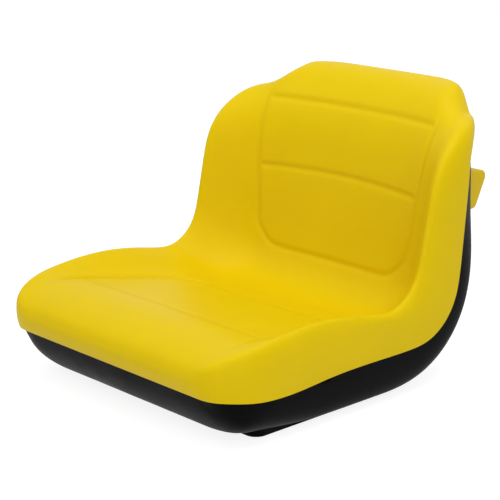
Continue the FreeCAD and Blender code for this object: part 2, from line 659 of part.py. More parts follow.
def make_handle(outer_rows):
    """The lift handle: a hollow lip behind the pan, open to the fingers from below."""
    wire = handle_profile()
    outer = Part.Face(wire).extrude(V(2.0 * handle_half, 0.0, 0.0)).translated(V(-handle_half, 0.0, 0.0))
    ends = [e for e in outer.Edges if e.BoundBox.XLength < HANDLE_WALL]
    outer = outer.makeFillet(HANDLE_END_ROUND, ends)
    room_half = handle_half - HANDLE_WALL
    room = Part.Face(wire.makeOffset2D(-HANDLE_WALL)).extrude(V(2.0 * room_half, 0.0, 0.0))
    handle = outer.cut(room.translated(V(-room_half, 0.0, 0.0)))
    for x, z in screw_places:
        handle = handle.fuse(rod(SCREW_BOSS_RADIUS, back_point(x, z), back_point(x, z, far)).common(outer))
    pan_back = skin(outer_rows, PAN_BACK_STRETCH).translated(V(0.0, HANDLE_GAP, 0.0))
    handle = handle.cut(pan_back.extrude(V(0.0, -pan_lumbar_y, 0.0)))
    grip_half, grip_top = screw_x - GRIP_MARGIN, handle_bottom + GRIP_HEIGHT
    grip_low = handle_bottom - 2.0 * GRIP_ROUND
    corners = [(-grip_half, 0.0, grip_low), (grip_half, 0.0, grip_low)]
    corners += [(grip_half, 0.0, grip_top), (-grip_half, 0.0, grip_top)]
    handle = handle.cut(Part.Face(rounded(corners, [GRIP_ROUND] * 4)).extrude(V(0.0, far, 0.0)))
    for x, z in screw_places:
        handle = handle.cut(rod(SCREW_RADIUS + SCREW_GAP, back_point(x, z), back_point(x, z, SCREW_LENGTH)))
    return handle


def make_inserts():
    """Four flanged threaded inserts, each bored for the mounting bolt."""
    inserts = []
    for x, y in bolt_places:
        body = rod(INSERT_RADIUS, (x, y, 0.0), (x, y, INSERT_LENGTH))
        flange = rod(INSERT_FLANGE_RADIUS, (x, y, 0.0), (x, y, INSERT_FLANGE))
        inserts.append(body.fuse(flange).cut(rod(BOLT_RADIUS, (x, y, 0.0), (x, y, INSERT_LENGTH))))
    return Part.makeCompound(inserts)


def make_screws():
    """The handle's screws, with their heads inside the pan."""
    screws = []
    for x, z in screw_places:
        seat = back_point(x, z, -WALL)
        tip = back_point(x, z, SCREW_LENGTH - WALL)
        top = back_point(x, z, -WALL - SCREW_HEAD)
        screw = rod(SCREW_RADIUS, seat, tip).fuse(rod(SCREW_HEAD_RADIUS, top, seat))
        socket_end = back_point(x, z, -WALL - SCREW_HEAD + SCREW_SOCKET)
        screws.append(screw.cut(rod(SCREW_SOCKET_RADIUS, top, socket_end)))
    return Part.makeCompound(screws)


def main():
    """Build every node and write it to its own file."""
    top_rows = cushion_rows()
    edge = edge_of(top_rows)
    hem = hem_ring(edge)
    outward = outward_ring()
    skirt = skirt_ring(edge, hem)
    rim = moved_ring(moved_ring(hem, outward, -RIM_INSET), skirt, RIM_GAP)
    inner_rim = moved_ring(rim, outward, -WALL)
    ledge = moved_ring(moved_ring(inner_rim, outward, -FOAM_GAP), skirt, -RIM_GAP)
    outer_rows = pan_rows(rim)
    inner_rows = inset_rows(outer_rows, inner_rim, WALL)
    foam_rows = inset_rows(inner_rows, ledge, FOAM_GAP)
    nodes = {
        "seat_cushion": make_cushion(top_rows, foam_rows, edge, hem, ledge),
        "seat_pan": make_pan(outer_rows, inner_rows, rim, inner_rim),
        "lift_handle": make_handle(outer_rows),
        "handle_screws": make_screws(),
        "mount_inserts": make_inserts(),
    }
    os.makedirs("parts", exist_ok=True)
    for name, shape in nodes.items():
        shape.exportStep("parts/" + name + ".step")
        print(name, shape.isValid(), len(shape.Solids), round(shape.Volume), shape.BoundBox)


main()
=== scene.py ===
import logging
import math
from dataclasses import dataclass, field
from enum import Enum

import bmesh
import bpy
import numpy as np
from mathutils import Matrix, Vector


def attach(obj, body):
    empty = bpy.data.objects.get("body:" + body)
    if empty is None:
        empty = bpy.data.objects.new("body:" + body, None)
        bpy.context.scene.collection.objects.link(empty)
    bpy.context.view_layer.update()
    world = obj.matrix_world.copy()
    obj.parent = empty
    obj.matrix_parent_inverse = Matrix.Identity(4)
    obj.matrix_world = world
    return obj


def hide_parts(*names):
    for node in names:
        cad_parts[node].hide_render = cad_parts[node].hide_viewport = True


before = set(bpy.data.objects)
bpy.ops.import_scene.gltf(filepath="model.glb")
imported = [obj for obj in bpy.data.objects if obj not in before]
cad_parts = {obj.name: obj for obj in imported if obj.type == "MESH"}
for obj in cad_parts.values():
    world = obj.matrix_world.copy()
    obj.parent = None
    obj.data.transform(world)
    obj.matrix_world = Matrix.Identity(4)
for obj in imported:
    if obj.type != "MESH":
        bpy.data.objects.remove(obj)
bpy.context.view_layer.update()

LOG = logging.getLogger("mower_seat")

# Sizes are in millimetres, as on the part's drawing, and turn to metres where a mesh is made.
MM = 0.001
MIRROR = np.array([-1.0, 1.0, 1.0])

# Pole rows along a seat line, the arc behind it and the back line.
SEAT_STEPS = 5
ARC_STEPS = 4
BACK_STEPS = 3

# Steps by which a spline's length is measured, and the last place that its last span holds.
LENGTH_STEPS = 4000
LAST_PLACE = 1.0 - 1e-9

# Shares of a roll's run and drop at its poles, from its crest to its widest line.
ROLL = ((0.4, 0.04), (0.8, 0.2), (1.0, 0.55), (1.0, 1.0))
# The like for the front, the pan's front, the headrest, the flat, the flanks and the pan's upper end.
FRONT_SHARES = ((0.4, 0.13), (0.76, 0.34), (0.96, 0.6), (1.0, 1.0))
PAN_FRONT_SHARES = ((0.4, 0.05), (0.74, 0.39), (0.93, 0.7), (1.0, 1.0))
HEAD_ROLL = ((0.4, 0.12), (0.8, 0.42), (1.0, 0.74), (1.0, 1.0))
FLAT = ((0.0, 0.0), (0.4, 0.1), (0.76, 0.45), (1.0, 1.0))
FLANK = ((0.36, 0.22), (0.7, 0.64), (1.0, 1.0))
SLANT = ((0.3, 0.08), (0.58, 0.3), (0.82, 0.62), (1.0, 1.0))
PAN_TOP = ((0.3, 0.1), (0.6, 0.34), (0.85, 0.66), (1.0, 1.0))


class Slot(Enum):
    """The record's material slots."""

    VINYL = "vinyl"
    PAN = "pan_plastic"
    HANDLE = "handle_plastic"
    SCREW = "screw_steel"
    INSERT = "insert_steel"


class Plane(Enum):
    """The two coordinates in which a panel line is drawn."""

    PLAN = (0, 1)
    FRONT = (0, 2)


def smooth(t: float) -> float:
    """Smooth step from 0 to 1."""
    t = min(1.0, max(0.0, t))
    return t * t * (3.0 - 2.0 * t)


def mix(a: np.ndarray, b: np.ndarray, t: float) -> np.ndarray:
    """The point at a share of the way from a to b."""
    return np.asarray(a, float) * (1.0 - t) + np.asarray(b, float) * t


def unit(a: np.ndarray) -> np.ndarray:
    """Directions of length 1."""
    return a / np.linalg.norm(a, axis=-1, keepdims=True)


def mirrored(row: np.ndarray) -> np.ndarray:
    """A full-width row from a half row that starts in the middle."""
    return np.concatenate([row[:0:-1] * MIRROR, row])


def basis(count: int, at: np.ndarray, degree: int = 3) -> np.ndarray:
    """Weights of a clamped spline's poles.

    Args:
        count: number of poles.
        at: places along the spline, from 0 to 1.
        degree: the spline's degree.

    Returns:
        One row of weights for each place.
    """
    ends = np.zeros(degree)
    knots = np.concatenate([ends, np.linspace(0.0, 1.0, count - degree + 1), ends + 1.0])
    at = np.clip(np.asarray(at, float), 0.0, LAST_PLACE)[:, None]
    weights = ((knots[:-1] <= at) & (at < knots[1:])).astype(float)
    for d in range(1, degree + 1):
        left = knots[d:-1] - knots[: -d - 1]
        right = knots[d + 1:] - knots[1:-d]
        rise = (at - knots[: -d - 1]) / np.where(left > 0.0, left, 1.0) * (left > 0.0)
        fall = (knots[d + 1:] - at) / np.where(right > 0.0, right, 1.0) * (right > 0.0)
        weights = rise * weights[:, :-1] + fall * weights[:, 1:]
    return weights


def close_places(poles: np.ndarray, count: int, marks: np.ndarray, reach: float, gain: float) -> np.ndarray:
    """Places along a spline at equal steps of its length, closer together near marked points.

    Args:
        poles: the spline's poles.
        count: number of steps.
        marks: points to be close to.
        reach: how far the close steps reach from a mark.
        gain: how much closer they are.

    Returns:
        The places, from 0 to 1.
    """
    fine = np.linspace(0.0, 1.0, LENGTH_STEPS + 1)
    points = basis(len(poles), fine) @ poles
    middles = (points[1:] + points[:-1]) / 2.0
    gaps = np.linalg.norm(middles[:, None] - marks, axis=2).min(1)
    crowd = 1.0 + gain * np.exp(-((gaps / reach) ** 2))
    length = np.concatenate([[0.0], np.cumsum(np.linalg.norm(np.diff(points, axis=0), axis=1) * crowd)])
    return np.interp(np.linspace(0.0, length[-1], count + 1), length, fine)


def net(rows: np.ndarray, us: np.ndarray, vs: np.ndarray) -> np.ndarray:
    """Points of the full-width skin over half rows of poles.

    Args:
        rows: poles, row by row from front to top.
        us: places along the rows' order.
        vs: places across.

    Returns:
        A grid of points.
    """
    full = np.array([mirrored(row) for row in rows])
    return np.einsum("ur,vc,rcx->uvx", basis(len(full), us), basis(full.shape[1], vs), full)


@dataclass
class Ring:
    """A closed line round the seat as half poles of its front, its rear and its side."""

    front: np.ndarray
    rear: np.ndarray
    side: np.ndarray

    def parts(self) -> tuple[np.ndarray, np.ndarray, np.ndarray]:
        """The three stretches."""
        return self.front, self.rear, self.side

    def moved(self, ways: "Ring", distance: float) -> "Ring":
        """The ring moved along directions of its own."""
        return Ring(*(a + b * distance for a, b in zip(self.parts(), ways.parts())))

    def towards(self, other: "Ring") -> "Ring":
        """Directions from this ring's poles to another's."""
        return Ring(*(unit(b - a) for a, b in zip(self.parts(), other.parts())))

    def loop(self, us: np.ndarray, vs: np.ndarray) -> np.ndarray:
        """Points all round: front from right to left hand, then one side, the rear and the other side.

        Args:
            us: places along a side.
            vs: places across.

        Returns:
            The points in order.
        """
        across, along = basis(2 * len(self.front) - 1, vs), basis(len(self.side), us)
        front, rear = across @ mirrored(self.front), across @ mirrored(self.rear)
        side = along @ self.side
        return np.concatenate([front, side[1:], rear[-2::-1], (side * MIRROR)[-2:0:-1]])


@dataclass(frozen=True)
class Profile:
    """Side view of one line of the seat: a seat stretch, an arc and a back stretch."""

    front_z: float
    hip_z: float
    lumbar_y: float
    recline: float
    radius: float
    hump: float = 0.0
    front_y: float = -133.0
    end_z: float = 287.0
    hip_y: float = 90.0
    lumbar_z: float = 170.0

    def poles(self) -> np.ndarray:
        """The line's poles.

        Returns:
            The (y, z) poles, one for each row.
        """
        slope = (self.hip_z - self.front_z) / (self.hip_y - self.front_y)
        lean = math.tan(math.radians(self.recline))
        reach_z = self.front_z + slope * (self.lumbar_y - self.front_y - lean * self.lumbar_z)
        corner_z = reach_z / (1.0 - slope * lean)
        corner_y = self.lumbar_y + lean * (corner_z - self.lumbar_z)
        seat_angle = math.atan(slope)
        turn = math.radians(90.0 - self.recline) - seat_angle
        reach = self.radius * math.tan(turn / 2.0)
        arc_y = corner_y - reach * math.cos(seat_angle)
        centre_y = arc_y - self.radius * math.sin(seat_angle)
        centre_z = corner_z - reach * math.sin(seat_angle) + self.radius * math.cos(seat_angle)
        poles = []
        for i in range(SEAT_STEPS + 1):
            t = i / SEAT_STEPS
            y = self.front_y + (arc_y - self.front_y) * t
            poles.append((y, self.front_z + slope * (y - self.front_y) + self.hump * math.sin(math.pi * t)))
        for i in range(1, ARC_STEPS + 1):
            angle = seat_angle + turn * i / ARC_STEPS
            y = centre_y + self.radius * math.sin(angle)
            poles.append((y, centre_z - self.radius * math.cos(angle)))
        bend_y, bend_z = poles[-1]
        for i in range(1, BACK_STEPS + 1):
            z = bend_z + (self.end_z - bend_z) * i / BACK_STEPS
            poles.append((bend_y + lean * (z - bend_z), z))
        return np.array(poles)


@dataclass(frozen=True)
class CushionForm:
    """The cushion's upper skin, skirt and hem as spline poles."""

    half: float = 240.0
    front_y: float = -210.0
    front_roll: float = 77.0
    front_corner: float = 64.0
    crest_inset: float = 12.0
    flank_front_x: float = 188.0
    flank_hip_x: float = 150.0
    flank_shoulder_x: float = 166.0
    front_hollow: float = -0.2
    seat_hollow: float = 0.1
    back_hollow: float = 0.3
    shoulder_corner: float = 51.0
    shoulder_rise: float = 82.0
    shoulder_top_y: float = 300.0
    head_rise: float = 119.0
    head_top_y: float = 346.0
    head_half: float = 140.0
    head_slope: float = 50.0
    head_forward_half: float = 91.0
    head_forward_slope: float = 112.0
    nose_z: float = 97.0
    hem_inset: float = 3.0
    hem_set_back: float = 9.0
    hem_dip: float = 9.0
    hem_dip_length: float = 90.0
    hem_dip_end_y: float = 9.0
    hem_head_half: float = 60.0
    top_skirt: float = 12.0
    top_skirt_drop: float = 44.0
    centre: Profile = Profile(136.0, 96.5, 228.0, 12.0, 65.0)
    crest: Profile = Profile(140.0, 130.0, 156.5, 12.0, 66.0, hump=14.0)
    edge: Profile = Profile(98.0, 108.0, 203.0, 8.0, 66.0)
    hem: Profile = Profile(72.5, 70.0, 241.0, 5.5, 87.0)

    @property
    def crest_x(self) -> float:
        """Distance of a bolster's crest from the middle."""
        return self.half - self.crest_inset

    def flank_x(self, k: int) -> float:
        """Where a bolster rises from the flat.

        Args:
            k: the row, counted from the front of the seat.

        Returns:
            The distance from the middle.
        """
        if k <= SEAT_STEPS:
            return self.flank_front_x + (self.flank_hip_x - self.flank_front_x) * smooth(k / SEAT_STEPS)
        rise = smooth((k - SEAT_STEPS) / (ARC_STEPS + BACK_STEPS))
        return self.flank_hip_x + (self.flank_shoulder_x - self.flank_hip_x) * rise

    def sections(self) -> np.ndarray:
        """Half cross-sections between the front roll and the shoulders.

        Returns:
            Their poles, each row from the middle to the widest line.
        """
        result = []
        lines = zip(self.centre.poles(), self.crest.poles(), self.edge.poles())
        for k, (centre, crest, edge) in enumerate(lines):
            flat = self.flank_x(k)
            start = smooth(k / (SEAT_STEPS - 1))
            level = smooth((k - SEAT_STEPS - ARC_STEPS) / BACK_STEPS)
            seat = self.front_hollow + (self.seat_hollow - self.front_hollow) * start
            hollow = seat + (self.back_hollow - seat) * level
            row = [(flat * u, *mix(centre, crest, f * hollow)) for u, f in FLAT]
            for u, f in FLANK:
                x = flat + (self.crest_x - flat) * u
                row.append((x, *mix(centre, crest, hollow + (1.0 - hollow) * f)))
            row += [(self.crest_x + self.crest_inset * run, *mix(crest, edge, drop)) for run, drop in ROLL]
            result.append(row)
        return np.array(result)

    def top_line(self, x: float) -> tuple[float, float]:
        """The line along the top of shoulders and headrest.

        Args:
            x: distance from the middle.

        Returns:
            The line's place and its rise above the last cross-section.
        """
        forward = smooth((x - self.head_forward_half) / self.head_forward_slope)
        fall = smooth((x - self.head_half) / self.head_slope)
        return (
            self.head_top_y + (self.shoulder_top_y - self.head_top_y) * forward,
            self.head_rise + (self.shoulder_rise - self.head_rise) * fall,
        )

    def rows(self) -> np.ndarray:
        """The upper skin.

        Returns:
            Its poles, row by row from the front roll to the top line.
        """
        sections = self.sections()
        rows = []
        for run, drop in reversed(FRONT_SHARES):
            narrow = 1.0 - self.front_corner / self.half * drop
            x, y, z = sections[0].T
            rows.append(np.stack([x * narrow, y - self.front_roll * run, z + (self.nose_z - z) * drop], 1))
        rows += list(sections)
        for (run, drop), (rise, lean) in zip(ROLL, HEAD_ROLL):
            narrow = 1.0 - self.shoulder_corner / self.half * drop
            row = []
            for x, y, z in sections[-1]:
                top_y, top_rise = self.top_line(x * narrow)
                row.append((x * narrow, y + (top_y - y) * lean, z + top_rise * rise))
            rows.append(np.array(row))
        return np.array(rows)

    def dip(self, y: float) -> float:
        """How much lower the side hem runs at a place along the seat."""
        start = smooth((y - self.front_y) / self.hem_dip_length)
        return self.hem_dip * start * smooth((self.hem_dip_end_y - y) / self.hem_dip_length)

    def hem_ring(self, edge: Ring) -> Ring:
        """The hem below the upper skin's edges.

        Args:
            edge: the ring of the skin's edges.

        Returns:
            The hem's ring.
        """
        front = [(x, y + self.hem_set_back, self.hem.front_z) for x, y, z in edge.front]
        head_z, (corner_x, corner_y, corner_z) = edge.rear[0][2], edge.rear[-1]
        rear = []
        for x, y, z in edge.rear:
            fall = smooth((x - self.hem_head_half) / (corner_x - self.hem_head_half))
            rear.append((x, y + self.top_skirt, head_z + (corner_z - head_z) * fall - self.top_skirt_drop))
        side = []
        for (run, drop), (x, y, z) in zip(reversed(ROLL), edge.side):
            level = self.hem.front_z - self.dip(y)
            side.append((x - self.hem_inset * (1.0 - drop), y + self.hem_set_back * drop, level))
        line = self.hem.poles()
        side += [(self.half - self.hem_inset, y, z - self.dip(y)) for y, z in line]
        end = rear[-1]
        for (run, drop), (x, y, z) in zip(ROLL, edge.side[-len(ROLL):]):
            shares = (1.0, drop, run)
            start = (x - self.hem_inset * (1.0 - drop), *line[-1])
            goal = (start[0], *end[1:])
            side.append(tuple(a + (b - a) * s for a, b, s in zip(start, goal, shares)))
        return Ring(np.array(front), np.array(rear), np.array(side))

    def outward(self) -> Ring:
        """Outward directions at the poles of a ring.

        Returns:
            The directions as a ring.
        """
        count = len(FLAT) + len(FLANK) + len(ROLL)
        turns = [math.pi / 4.0 * (run + drop) for run, drop in ROLL]
        side = [(math.cos(a), -math.sin(a), 0.0) for a in reversed(turns)]
        side += [(1.0, 0.0, 0.0)] * (SEAT_STEPS + ARC_STEPS + BACK_STEPS + 1)
        side += [(math.cos(a), math.sin(a), 0.0) for a in turns]
        ahead, behind = np.tile((0.0, -1.0, 0.0), (count, 1)), np.tile((0.0, 1.0, 0.0), (count, 1))
        return Ring(ahead, behind, np.array(side))

    def bulge(self, rows: np.ndarray, edge: Ring, hem: Ring) -> Ring:
        """The ring half way down the skirt, which leaves the upper skin without a crease.

        Args:
            rows: poles of the upper skin.
            edge: the ring of its edges.
            hem: the hem's ring.

        Returns:
            The new ring.
        """
        down, back = np.array([0.0, 0.0, -1.0]), np.array([0.0, 1.0, 0.0])
        count = len(ROLL)
        side = [down] * count
        side += [unit(row[-1] - row[-2]) for row in rows[count:-count]]
        side += [back] * count
        ways = (np.tile(down, (len(edge.front), 1)), np.tile(back, (len(edge.rear), 1)), np.array(side))
        parts = []
        for start, end, way in zip(edge.parts(), hem.parts(), ways):
            parts.append(start + way * np.linalg.norm(end - start, axis=1, keepdims=True) / 2.0)
        return Ring(*parts)


@dataclass(frozen=True)
class PanForm:
    """The pan's outer skin as spline poles, and its walls and hardware places."""

    wall: float = 3.5
    rim_inset: float = 5.0
    rim_gap: float = 0.4
    foam_gap: float = 0.4
    base_half: float = 207.0
    base_front_half: float = 155.0
    base_corner_steps: int = 2
    back_half: float = 174.0
    boss_top: float = 19.0
    boss_reach: float = 24.0
    bolts: tuple[float, float] = (142.875, 101.6)
    switch_y: float = 20.0
    switch_top: float = 33.5
    screw_x: float = 150.0
    screw_zs: tuple[float, float] = (244.0, 270.0)
    screw_reach: float = 16.0
    screw_room: float = 6.0
    base: Profile = Profile(6.0, 6.0, 302.0, 3.6, 155.0, front_y=-126.0, end_z=284.0)

    def flat_half(self, k: int) -> float:
        """Half width of the flat.

        Args:
            k: the row, counted from the front of the base.

        Returns:
            The half width.
        """
        if k <= SEAT_STEPS:
            turn = min(1.0, k / self.base_corner_steps) * math.pi / 2.0
            return self.base_front_half + (self.base_half - self.base_front_half) * math.sin(turn)
        return self.base_half + (self.back_half - self.base_half) * min(1.0, (k - SEAT_STEPS) / ARC_STEPS)

    def rows(self, rim: Ring, form: CushionForm) -> np.ndarray:
        """Poles of the outer skin inside its rim.

        Args:
            rim: the rim's ring.
            form: the cushion above the pan.

        Returns:
            The poles, row by row from front to top.
        """
        sections = []
        for k, (base, end) in enumerate(zip(self.base.poles(), rim.side[len(ROLL):])):
            width = self.flat_half(k)
            flat = width * form.flank_x(k) / form.crest_x
            row = [(flat * u, *base) for u, f in FLAT]
            row += [(flat + (width - flat) * u, *base) for u, f in FLANK]
            slant = smooth((k - SEAT_STEPS - ARC_STEPS) / BACK_STEPS)
            for run, drop in [mix(a, b, slant) for a, b in zip(ROLL, SLANT)]:
                row.append((width + (end[0] - width) * run, *mix(base, end[1:], drop)))
            sections.append(np.array(row))
        rows = []
        for run, drop in reversed(PAN_FRONT_SHARES):
            rows.append(sections[0] + (rim.front - sections[0]) * (drop, run, drop))
        rows += sections
        rows += [sections[-1] + (rim.rear - sections[-1]) * (lean, lean, rise) for rise, lean in PAN_TOP]
        result = np.array(rows)
        result[:, -1] = rim.side
        return result

    def inset(self, rows: np.ndarray, ring: Ring, distance: float) -> np.ndarray:
        """The skin inside a given edge, with its other poles moved along their normals.

        Args:
            rows: poles of the skin.
            ring: the new edge.
            distance: how far the poles move inwards.

        Returns:
            The new poles.
        """
        wide = np.concatenate([rows[:, 1:2] * MIRROR, rows], 1)
        across = wide[1:-1, 2:] - wide[1:-1, :-2]
        normals = unit(np.cross(across, rows[2:, :-1] - rows[:-2, :-1]))
        result = rows.copy()
        result[1:-1, :-1] += normals * distance
        result[1:-1, 0, 0] = 0.0
        result[0], result[-1] = ring.front, ring.rear
        result[1:-1, -1] = ring.side[1:-1]
        return result


@dataclass(frozen=True)
class PanelLine:
    """A moulded line in the cushion: its points, their plane, the fade at its ends and its section."""

    points: tuple[tuple[float, float], ...]
    plane: Plane
    width: float
    depth: float
    fade: float = 6.0
    steps: int = 16

    def course(self) -> np.ndarray:
        """The line as a smooth curve through its points.

        Returns:
            Close points along the curve.
        """
        pts = np.array(self.points, float)
        ends = np.concatenate([[2.0 * pts[0] - pts[1]], pts, [2.0 * pts[-1] - pts[-2]]])
        t = np.linspace(0.0, 1.0, self.steps, endpoint=False)[:, None]
        runs = []
        for a, b, c, d in zip(ends, ends[1:], ends[2:], ends[3:]):
            runs.append(
                0.5 * (2.0 * b + (c - a) * t + (2.0 * a - 5.0 * b + 4.0 * c - d) * t**2
                       + (3.0 * b - a - 3.0 * c + d) * t**3)
            )
        return np.concatenate([*runs, pts[-1:]])

    def measure(self, flat: np.ndarray) -> tuple[np.ndarray, np.ndarray]:
        """How far points lie from the line, and how strong the line is beside them.

        Args:
            flat: points in the line's plane.

        Returns:
            The distances and the strengths, from 0 to 1.
        """
        line = self.course()
        gap, place, start = np.full(len(flat), np.inf), np.zeros(len(flat)), 0.0
        for a, b in zip(line, line[1:]):
            run = float(np.linalg.norm(b - a))
            along = np.clip((flat - a) @ (b - a) / run**2, 0.0, 1.0)
            away = np.linalg.norm(flat - a - along[:, None] * (b - a), axis=1)
            nearer = away < gap
            gap[nearer] = away[nearer]
            place[nearer] = start + along[nearer] * run
            start += run
        ease = np.clip(np.minimum(place, start - place) / self.fade, 0.0, 1.0)
        return gap, ease * ease * (3.0 - 2.0 * ease)


def both_sides(half_line: tuple[tuple[float, float], ...]) -> tuple[tuple[float, float], ...]:
    """A line across the middle from its half, which starts in the middle."""
    return tuple((-a, b) for a, b in reversed(half_line[1:])) + half_line


class NodeTree:
    """Short ways to add and join shader nodes in a material or a group."""

    # Sockets of a colour mix: its factor, its two colours and its result.
    MIX_FACTOR = 0
    MIX_FIRST = 6
    MIX_SECOND = 7
    MIX_RESULT = 2

    def __init__(self, tree: bpy.types.NodeTree) -> None:
        """Holds the tree that nodes are added to."""
        self.tree = tree

    def add(self, kind: str, **values: object) -> bpy.types.Node:
        """Adds a node.

        Args:
            kind: the node's type name.
            values: its properties, and its input values by socket name with underscores for spaces.

        Returns:
            The node.
        """
        node = self.tree.nodes.new(kind)
        for name, value in values.items():
            if hasattr(node, name):
                setattr(node, name, value)
            else:
                node.inputs[name.replace("_", " ")].default_value = value
        return node

    def join(self, start: bpy.types.NodeSocket, end: bpy.types.NodeSocket) -> None:
        """Links two sockets."""
        self.tree.links.new(start, end)

    def ramp(self, source: bpy.types.NodeSocket, low: tuple, high: tuple) -> bpy.types.NodeSocket:
        """A colour that runs from low to high with a value.

        Args:
            source: the value, from 0 to 1.
            low: the colour at 0.
            high: the colour at 1.

        Returns:
            The colour's socket.
        """
        node = self.add("ShaderNodeValToRGB")
        first, last = node.color_ramp.elements
        first.color, last.color = (*low, 1.0), (*high, 1.0)
        self.join(source, node.inputs["Fac"])
        return node.outputs["Color"]

    def span(self, source: bpy.types.NodeSocket, low: float, high: float) -> bpy.types.NodeSocket:
        """A value spread between two limits.

        Args:
            source: the value, from 0 to 1.
            low: the limit at 0.
            high: the limit at 1.

        Returns:
            The spread value's socket.
        """
        node = self.add("ShaderNodeMapRange", To_Min=low, To_Max=high)
        self.join(source, node.inputs["Value"])
        return node.outputs["Result"]

    def blend(
        self, factor: bpy.types.NodeSocket, low: bpy.types.NodeSocket, high: tuple
    ) -> bpy.types.NodeSocket:
        """A colour that turns into a fixed one as a factor grows.

        Args:
            factor: the factor, from 0 to 1.
            low: the colour at 0.
            high: the fixed colour at 1.

        Returns:
            The colour's socket.
        """
        node = self.add("ShaderNodeMix", data_type="RGBA")
        self.join(factor, node.inputs[self.MIX_FACTOR])
        self.join(low, node.inputs[self.MIX_FIRST])
        node.inputs[self.MIX_SECOND].default_value = (*high, 1.0)
        return node.outputs[self.MIX_RESULT]


class Effects:
    """Shader groups that more than one finish uses."""

    FINE_SCALE = 2.3  # scale of the fine noise against that of the pebbles
    CLOUD_LOW = 0.3  # noise that gives the darkest tone
    CLOUD_HIGH = 0.7  # noise that gives the lightest tone
    # Sockets of a value mix: its two values.
    MIX_FIRST = 2
    MIX_SECOND = 3

    @staticmethod
    def group(name: str, inputs: dict[str, float], outputs: tuple[str, ...]) -> tuple[NodeTree, dict, dict]:
        """Starts a group with named sockets.

        Args:
            name: the group's name.
            inputs: input names and their usual values.
            outputs: output names.

        Returns:
            The group's tree, its input sockets and its output sockets.
        """
        tree = bpy.data.node_groups.new(name, "ShaderNodeTree")
        for key, value in inputs.items():
            socket = tree.interface.new_socket(key, in_out="INPUT", socket_type="NodeSocketFloat")
            socket.default_value = value
        for key in outputs:
            tree.interface.new_socket(key, in_out="OUTPUT", socket_type="NodeSocketFloat")
        nodes = NodeTree(tree)
        start, end = nodes.add("NodeGroupInput"), nodes.add("NodeGroupOutput")
        return nodes, {k: start.outputs[k] for k in inputs}, {k: end.inputs[k] for k in outputs}

    @staticmethod
    def pebble_grain() -> None:
        """Height of a moulded grain: pebbles with fine noise among them."""
        nodes, given, out = Effects.group("pebble_grain", {"Scale": 800.0, "Depth": 0.6}, ("Height",))
        where = nodes.add("ShaderNodeTexCoord").outputs["Object"]
        cells = nodes.add("ShaderNodeTexVoronoi", feature="SMOOTH_F1", Smoothness=0.5, Randomness=0.9)
        fine = nodes.add("ShaderNodeTexNoise", Detail=2.0, Roughness=0.5)
        finer = nodes.add("ShaderNodeMath", operation="MULTIPLY")
        finer.inputs[1].default_value = Effects.FINE_SCALE
        both = nodes.add("ShaderNodeMix", data_type="FLOAT")
        for node in (cells, fine):
            nodes.join(where, node.inputs["Vector"])
        nodes.join(given["Scale"], cells.inputs["Scale"])
        nodes.join(given["Scale"], finer.inputs[0])
        nodes.join(finer.outputs[0], fine.inputs["Scale"])
        nodes.join(given["Depth"], both.inputs[0])
        nodes.join(fine.outputs["Fac"], both.inputs[Effects.MIX_FIRST])
        nodes.join(cells.outputs["Distance"], both.inputs[Effects.MIX_SECOND])
        nodes.join(both.outputs[0], out["Height"])

    @staticmethod
    def slow_mottle() -> None:
        """Tone that changes slowly over a surface."""
        nodes, given, out = Effects.group("slow_mottle", {"Scale": 14.0, "Detail": 3.0}, ("Tone",))
        where = nodes.add("ShaderNodeTexCoord").outputs["Object"]
        cloud = nodes.add("ShaderNodeTexNoise", Roughness=0.55)
        nodes.join(where, cloud.inputs["Vector"])
        nodes.join(given["Scale"], cloud.inputs["Scale"])
        nodes.join(given["Detail"], cloud.inputs["Detail"])
        spread = nodes.add("ShaderNodeMapRange", From_Min=Effects.CLOUD_LOW, From_Max=Effects.CLOUD_HIGH)
        nodes.join(cloud.outputs["Fac"], spread.inputs["Value"])
        nodes.join(spread.outputs["Result"], out["Tone"])

    @staticmethod
    def build() -> None:
        """Builds the groups once for all finishes."""
        Effects.pebble_grain()
        Effects.slow_mottle()


@dataclass(frozen=True)
class Finish:
    """A surface: its colours, gloss and grain."""

    name: str
    low: tuple[float, float, float]
    high: tuple[float, float, float]
    rough: tuple[float, float]
    grain_scale: float
    grain_depth: float
    bump: float
    bump_height: float = 0.0003
    mottle_scale: float = 14.0
    mottle_detail: float = 3.0
    metal: float = 0.0
    specular: float = 0.5
    # Colour towards which the panel lines are darkened: painted shade in the lines.
    groove_shade: tuple[float, float, float] | None = None

    def material(self) -> bpy.types.Material:
        """Builds the material.

        Returns:
            The new material.
        """
        made = bpy.data.materials.new(self.name)
        made.use_nodes = True
        made.diffuse_color = (*self.high, 1.0)
        nodes = NodeTree(made.node_tree)
        shader = made.node_tree.nodes["Principled BSDF"]
        shader.inputs["Metallic"].default_value = self.metal
        shader.inputs["Specular IOR Level"].default_value = self.specular
        mottle = self.effect(nodes, "slow_mottle", Scale=self.mottle_scale, Detail=self.mottle_detail)
        grain = self.effect(nodes, "pebble_grain", Scale=self.grain_scale, Depth=self.grain_depth)
        colour = nodes.ramp(mottle, self.low, self.high)
        # Painted shade: the panel lines are darkened towards their own colour.
        if self.groove_shade:
            shade_mask = nodes.add("ShaderNodeAttribute", attribute_name="groove_shade")
            colour = nodes.blend(shade_mask.outputs["Fac"], colour, self.groove_shade)
        nodes.join(colour, shader.inputs["Base Color"])
        nodes.join(nodes.span(mottle, *self.rough), shader.inputs["Roughness"])
        bump = nodes.add("ShaderNodeBump", Strength=self.bump, Distance=self.bump_height)
        nodes.join(grain, bump.inputs["Height"])
        nodes.join(bump.outputs["Normal"], shader.inputs["Normal"])
        return made

    @staticmethod
    def effect(nodes: NodeTree, group: str, **values: float) -> bpy.types.NodeSocket:
        """Puts a shared effect in a material.

        Args:
            nodes: the material's tree.
            group: the effect's name.
            values: its inputs.

        Returns:
            The effect's output.
        """
        node = nodes.add("ShaderNodeGroup", node_tree=bpy.data.node_groups[group])
        for name, value in values.items():
            node.inputs[name].default_value = value
        return node.outputs[0]


